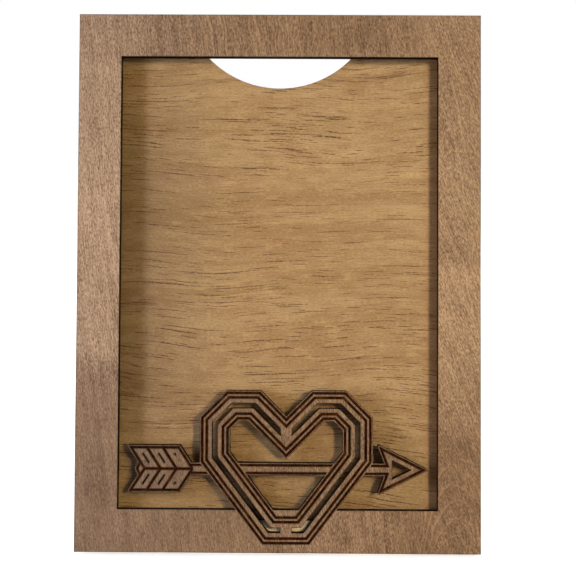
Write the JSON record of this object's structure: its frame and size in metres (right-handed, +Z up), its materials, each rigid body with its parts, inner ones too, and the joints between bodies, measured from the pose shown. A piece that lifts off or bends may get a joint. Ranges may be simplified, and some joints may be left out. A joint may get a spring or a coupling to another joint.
{
  "type": "photo frame",
  "caption": "Desk photo frame of layered thin wood with a cut and engraved heart and arrow in the window, a thumb notch for sliding the print out, and a folding easel leg.",
  "frame": {"origin": "on the ground, in the middle of the open frame's footprint", "axes": "+Z up, the face looks towards -Y and leans back by 11 degrees, +X to the viewer's right"},
  "size_m": [0.1524, 0.0678, 0.2014],
  "materials": {
    "stained_birch": "satin brown stain, dark laser-cut edges and engraving",
    "raw_birch": "unfinished pale ply, dark laser-cut edges",
    "golden_veneer": "open-pored golden veneer, thin clear coat",
    "dowel": "smooth turned hardwood"
  },
  "bodies": {
    "frame": {"front_frame": "stained_birch", "left_spacer": "raw_birch", "right_spacer": "raw_birch", "bottom_spacer": "raw_birch", "hinge_plate": "raw_birch", "left_hinge_ear": "raw_birch", "right_hinge_ear": "raw_birch", "back_panel": "golden_veneer", "hinge_pin": "dowel"},
    "leg": {"easel_leg": "stained_birch"}
  },
  "joints": [
    {"name": "leg_fold", "type": "hinge", "parent": "frame", "child": "leg", "pos_m": [0, 0.00809, 0.116], "axis": [1, 0, 0], "range_deg": [-24.5, 0]}
  ]
}
